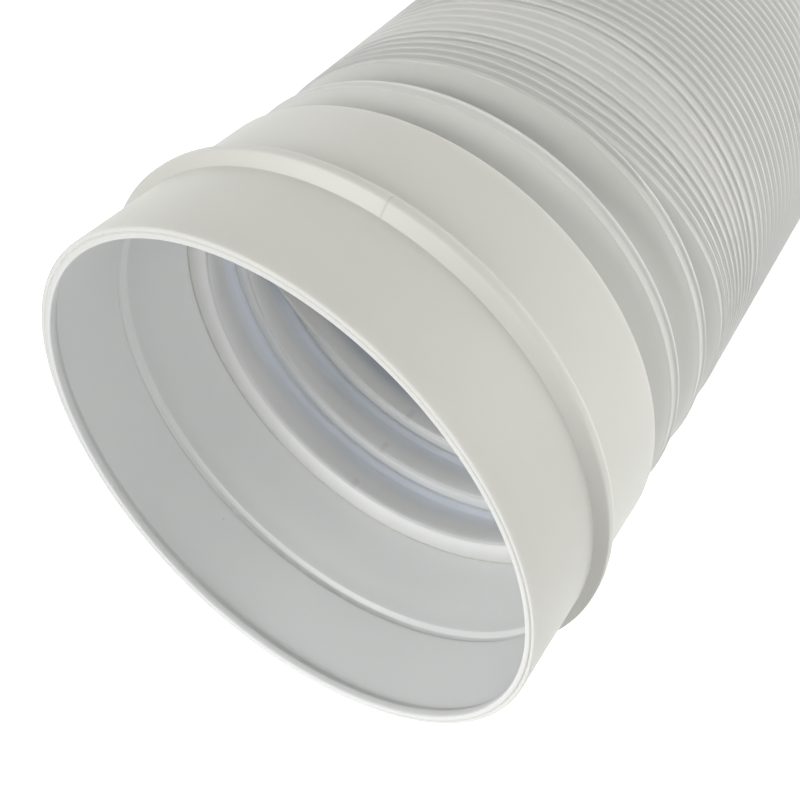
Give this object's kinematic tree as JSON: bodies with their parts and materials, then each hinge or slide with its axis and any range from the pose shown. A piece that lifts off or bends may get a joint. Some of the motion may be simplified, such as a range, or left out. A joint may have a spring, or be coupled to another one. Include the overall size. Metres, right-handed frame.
{
  "type": "flexible air duct",
  "caption": "Round flexible air duct: a smooth beaded collar at each end and a bellows between them whose cone-shaped folds nest, slide open and bend.",
  "frame": {"origin": "centre of the rear collar's mouth plane, which the duct stands on", "axes": "+Z along the duct towards the front collar's mouth; +X is the side that the duct bends towards"},
  "size_m": [0.1628, 0.1628, 0.3243],
  "materials": {
    "collar_plastic": "smooth off-white moulded plastic with a soft sheen",
    "fold_plastic": "thin off-white moulded plastic, satin"
  },
  "bodies": {
    "rear_collar": {"rear_collar": "collar_plastic"},
    "fold_ring_43": {"fold_ring_43": "fold_plastic"},
    "fold_ring_42": {"fold_ring_42": "fold_plastic"},
    "fold_ring_41": {"fold_ring_41": "fold_plastic"},
    "fold_ring_40": {"fold_ring_40": "fold_plastic"},
    "fold_ring_39": {"fold_ring_39": "fold_plastic"},
    "fold_ring_38": {"fold_ring_38": "fold_plastic"},
    "fold_ring_37": {"fold_ring_37": "fold_plastic"},
    "fold_ring_36": {"fold_ring_36": "fold_plastic"},
    "fold_ring_35": {"fold_ring_35": "fold_plastic"},
    "fold_ring_34": {"fold_ring_34": "fold_plastic"},
    "fold_ring_33": {"fold_ring_33": "fold_plastic"},
    "fold_ring_32": {"fold_ring_32": "fold_plastic"},
    "fold_ring_31": {"fold_ring_31": "fold_plastic"},
    "fold_ring_30": {"fold_ring_30": "fold_plastic"},
    "fold_ring_29": {"fold_ring_29": "fold_plastic"},
    "fold_ring_28": {"fold_ring_28": "fold_plastic"},
    "fold_ring_27": {"fold_ring_27": "fold_plastic"},
    "fold_ring_26": {"fold_ring_26": "fold_plastic"},
    "fold_ring_25": {"fold_ring_25": "fold_plastic"},
    "fold_ring_24": {"fold_ring_24": "fold_plastic"},
    "fold_ring_23": {"fold_ring_23": "fold_plastic"},
    "fold_ring_22": {"fold_ring_22": "fold_plastic"},
    "fold_ring_21": {"fold_ring_21": "fold_plastic"},
    "fold_ring_20": {"fold_ring_20": "fold_plastic"},
    "fold_ring_19": {"fold_ring_19": "fold_plastic"},
    "fold_ring_18": {"fold_ring_18": "fold_plastic"},
    "fold_ring_17": {"fold_ring_17": "fold_plastic"},
    "fold_ring_16": {"fold_ring_16": "fold_plastic"},
    "fold_ring_15": {"fold_ring_15": "fold_plastic"},
    "fold_ring_14": {"fold_ring_14": "fold_plastic"},
    "fold_ring_13": {"fold_ring_13": "fold_plastic"},
    "fold_ring_12": {"fold_ring_12": "fold_plastic"},
    "fold_ring_11": {"fold_ring_11": "fold_plastic"},
    "fold_ring_10": {"fold_ring_10": "fold_plastic"},
    "fold_ring_9": {"fold_ring_9": "fold_plastic"},
    "fold_ring_8": {"fold_ring_8": "fold_plastic"},
    "fold_ring_7": {"fold_ring_7": "fold_plastic"},
    "fold_ring_6": {"fold_ring_6": "fold_plastic"},
    "fold_ring_5": {"fold_ring_5": "fold_plastic"},
    "fold_ring_4": {"fold_ring_4": "fold_plastic"},
    "fold_ring_3": {"fold_ring_3": "fold_plastic"},
    "fold_ring_2": {"fold_ring_2": "fold_plastic", "fold_web_3": "fold_plastic"},
    "fold_ring_1": {"fold_ring_1": "fold_plastic", "fold_web_2": "fold_plastic"},
    "front_collar": {"front_collar": "collar_plastic", "fold_web_1": "fold_plastic"}
  },
  "joints": [
    {"name": "extend_1", "type": "slide", "parent": "rear_collar", "child": "fold_ring_43", "axis": [0, 0, 1], "range_m": [0, 0.01435]},
    {"name": "bend_1", "type": "hinge", "parent": "fold_ring_43", "child": "fold_ring_42", "pos_m": [0.077, 0, 0.0702], "axis": [0, 1, 0], "range_deg": [0, 5.3]},
    {"name": "extend_2", "type": "slide", "parent": "fold_ring_42", "child": "fold_ring_41", "axis": [0, 0, 1], "range_m": [0, 0.01435]},
    {"name": "bend_2", "type": "hinge", "parent": "fold_ring_41", "child": "fold_ring_40", "pos_m": [0.077, 0, 0.0776], "axis": [0, 1, 0], "range_deg": [0, 5.3]},
    {"name": "extend_3", "type": "slide", "parent": "fold_ring_40", "child": "fold_ring_39", "axis": [0, 0, 1], "range_m": [0, 0.01435]},
    {"name": "extend_4", "type": "slide", "parent": "fold_ring_39", "child": "fold_ring_38", "axis": [0, 0, 1], "range_m": [0, 0.01435]},
    {"name": "bend_3", "type": "hinge", "parent": "fold_ring_38", "child": "fold_ring_37", "pos_m": [0.077, 0, 0.0887], "axis": [0, 1, 0], "range_deg": [0, 5.3]},
    {"name": "extend_5", "type": "slide", "parent": "fold_ring_37", "child": "fold_ring_36", "axis": [0, 0, 1], "range_m": [0, 0.01435]},
    {"name": "bend_4", "type": "hinge", "parent": "fold_ring_36", "child": "fold_ring_35", "pos_m": [0.077, 0, 0.0961], "axis": [0, 1, 0], "range_deg": [0, 5.3]},
    {"name": "extend_6", "type": "slide", "parent": "fold_ring_35", "child": "fold_ring_34", "axis": [0, 0, 1], "range_m": [0, 0.01435]},
    {"name": "extend_7", "type": "slide", "parent": "fold_ring_34", "child": "fold_ring_33", "axis": [0, 0, 1], "range_m": [0, 0.01435]},
    {"name": "bend_5", "type": "hinge", "parent": "fold_ring_33", "child": "fold_ring_32", "pos_m": [0.077, 0, 0.1072], "axis": [0, 1, 0], "range_deg": [0, 5.3]},
    {"name": "extend_8", "type": "slide", "parent": "fold_ring_32", "child": "fold_ring_31", "axis": [0, 0, 1], "range_m": [0, 0.01435]},
    {"name": "bend_6", "type": "hinge", "parent": "fold_ring_31", "child": "fold_ring_30", "pos_m": [0.077, 0, 0.1146], "axis": [0, 1, 0], "range_deg": [0, 5.3]},
    {"name": "extend_9", "type": "slide", "parent": "fold_ring_30", "child": "fold_ring_29", "axis": [0, 0, 1], "range_m": [0, 0.01435]},
    {"name": "extend_10", "type": "slide", "parent": "fold_ring_29", "child": "fold_ring_28", "axis": [0, 0, 1], "range_m": [0, 0.01435]},
    {"name": "bend_7", "type": "hinge", "parent": "fold_ring_28", "child": "fold_ring_27", "pos_m": [0.077, 0, 0.1257], "axis": [0, 1, 0], "range_deg": [0, 5.3]},
    {"name": "extend_11", "type": "slide", "parent": "fold_ring_27", "child": "fold_ring_26", "axis": [0, 0, 1], "range_m": [0, 0.01435]},
    {"name": "bend_8", "type": "hinge", "parent": "fold_ring_26", "child": "fold_ring_25", "pos_m": [0.077, 0, 0.1331], "axis": [0, 1, 0], "range_deg": [0, 5.3]},
    {"name": "extend_12", "type": "slide", "parent": "fold_ring_25", "child": "fold_ring_24", "axis": [0, 0, 1], "range_m": [0, 0.01435]},
    {"name": "extend_13", "type": "slide", "parent": "fold_ring_24", "child": "fold_ring_23", "axis": [0, 0, 1], "range_m": [0, 0.01435]},
    {"name": "bend_9", "type": "hinge", "parent": "fold_ring_23", "child": "fold_ring_22", "pos_m": [0.077, 0, 0.1442], "axis": [0, 1, 0], "range_deg": [0, 5.3]},
    {"name": "extend_14", "type": "slide", "parent": "fold_ring_22", "child": "fold_ring_21", "axis": [0, 0, 1], "range_m": [0, 0.01435]},
    {"name": "bend_10", "type": "hinge", "parent": "fold_ring_21", "child": "fold_ring_20", "pos_m": [0.077, 0, 0.1516], "axis": [0, 1, 0], "range_deg": [0, 5.3]},
    {"name": "extend_15", "type": "slide", "parent": "fold_ring_20", "child": "fold_ring_19", "axis": [0, 0, 1], "range_m": [0, 0.01435]},
    {"name": "extend_16", "type": "slide", "parent": "fold_ring_19", "child": "fold_ring_18", "axis": [0, 0, 1], "range_m": [0, 0.01435]},
    {"name": "bend_11", "type": "hinge", "parent": "fold_ring_18", "child": "fold_ring_17", "pos_m": [0.077, 0, 0.1627], "axis": [0, 1, 0], "range_deg": [0, 5.3]},
    {"name": "extend_17", "type": "slide", "parent": "fold_ring_17", "child": "fold_ring_16", "axis": [0, 0, 1], "range_m": [0, 0.01435]},
    {"name": "bend_12", "type": "hinge", "parent": "fold_ring_16", "child": "fold_ring_15", "pos_m": [0.077, 0, 0.1701], "axis": [0, 1, 0], "range_deg": [0, 5.3]},
    {"name": "extend_18", "type": "slide", "parent": "fold_ring_15", "child": "fold_ring_14", "axis": [0, 0, 1], "range_m": [0, 0.01435]},
    {"name": "extend_19", "type": "slide", "parent": "fold_ring_14", "child": "fold_ring_13", "axis": [0, 0, 1], "range_m": [0, 0.01435]},
    {"name": "bend_13", "type": "hinge", "parent": "fold_ring_13", "child": "fold_ring_12", "pos_m": [0.077, 0, 0.1812], "axis": [0, 1, 0], "range_deg": [0, 5.3]},
    {"name": "extend_20", "type": "slide", "parent": "fold_ring_12", "child": "fold_ring_11", "axis": [0, 0, 1], "range_m": [0, 0.01435]},
    {"name": "bend_14", "type": "hinge", "parent": "fold_ring_11", "child": "fold_ring_10", "pos_m": [0.077, 0, 0.1886], "axis": [0, 1, 0], "range_deg": [0, 5.3]},
    {"name": "extend_21", "type": "slide", "parent": "fold_ring_10", "child": "fold_ring_9", "axis": [0, 0, 1], "range_m": [0, 0.01435]},
    {"name": "extend_22", "type": "slide", "parent": "fold_ring_9", "child": "fold_ring_8", "axis": [0, 0, 1], "range_m": [0, 0.01435]},
    {"name": "bend_15", "type": "hinge", "parent": "fold_ring_8", "child": "fold_ring_7", "pos_m": [0.077, 0, 0.1997], "axis": [0, 1, 0], "range_deg": [0, 5.3]},
    {"name": "extend_23", "type": "slide", "parent": "fold_ring_7", "child": "fold_ring_6", "axis": [0, 0, 1], "range_m": [0, 0.01435]},
    {"name": "bend_16", "type": "hinge", "parent": "fold_ring_6", "child": "fold_ring_5", "pos_m": [0.077, 0, 0.2071], "axis": [0, 1, 0], "range_deg": [0, 5.3]},
    {"name": "extend_24", "type": "slide", "parent": "fold_ring_5", "child": "fold_ring_4", "axis": [0, 0, 1], "range_m": [0, 0.01435]},
    {"name": "fold_3_tilt", "type": "hinge", "parent": "fold_ring_4", "child": "fold_ring_3", "pos_m": [0.077, 0, 0.2145], "axis": [0, 1, 0], "range_deg": [0, 5.3]},
    {"name": "fold_3_slide", "type": "slide", "parent": "fold_ring_3", "child": "fold_ring_2", "axis": [0, 0, 1], "range_m": [-0.0034, 0.0071], "deforming": ["fold_web_3"]},
    {"name": "fold_2_slide", "type": "slide", "parent": "fold_ring_2", "child": "fold_ring_1", "axis": [0, 0, 1], "range_m": [-0.01435, 0], "deforming": ["fold_web_2"]},
    {"name": "fold_1_slide", "type": "slide", "parent": "fold_ring_1", "child": "front_collar", "axis": [0, 0, 1], "range_m": [-0.01435, 0], "deforming": ["fold_web_1"]}
  ],
  "couplings": [
    {"joint": "extend_2", "follows": "extend_1", "ratio": 1},
    {"joint": "bend_2", "follows": "bend_1", "ratio": 1},
    {"joint": "extend_3", "follows": "extend_1", "ratio": 1},
    {"joint": "extend_4", "follows": "extend_1", "ratio": 1},
    {"joint": "bend_3", "follows": "bend_1", "ratio": 1},
    {"joint": "extend_5", "follows": "extend_1", "ratio": 1},
    {"joint": "bend_4", "follows": "bend_1", "ratio": 1},
    {"joint": "extend_6", "follows": "extend_1", "ratio": 1},
    {"joint": "extend_8", "follows": "extend_7", "ratio": 1},
    {"joint": "bend_6", "follows": "bend_5", "ratio": 1},
    {"joint": "extend_9", "follows": "extend_7", "ratio": 1},
    {"joint": "extend_10", "follows": "extend_7", "ratio": 1},
    {"joint": "bend_7", "follows": "bend_5", "ratio": 1},
    {"joint": "extend_11", "follows": "extend_7", "ratio": 1},
    {"joint": "bend_8", "follows": "bend_5", "ratio": 1},
    {"joint": "extend_12", "follows": "extend_7", "ratio": 1},
    {"joint": "extend_14", "follows": "extend_13", "ratio": 1},
    {"joint": "bend_10", "follows": "bend_9", "ratio": 1},
    {"joint": "extend_15", "follows": "extend_13", "ratio": 1},
    {"joint": "extend_16", "follows": "extend_13", "ratio": 1},
    {"joint": "bend_11", "follows": "bend_9", "ratio": 1},
    {"joint": "extend_17", "follows": "extend_13", "ratio": 1},
    {"joint": "bend_12", "follows": "bend_9", "ratio": 1},
    {"joint": "extend_18", "follows": "extend_13", "ratio": 1},
    {"joint": "extend_20", "follows": "extend_19", "ratio": 1},
    {"joint": "bend_14", "follows": "bend_13", "ratio": 1},
    {"joint": "extend_21", "follows": "extend_19", "ratio": 1},
    {"joint": "extend_22", "follows": "extend_19", "ratio": 1},
    {"joint": "bend_15", "follows": "bend_13", "ratio": 1},
    {"joint": "extend_23", "follows": "extend_19", "ratio": 1},
    {"joint": "bend_16", "follows": "bend_13", "ratio": 1},
    {"joint": "extend_24", "follows": "extend_19", "ratio": 1}
  ]
}
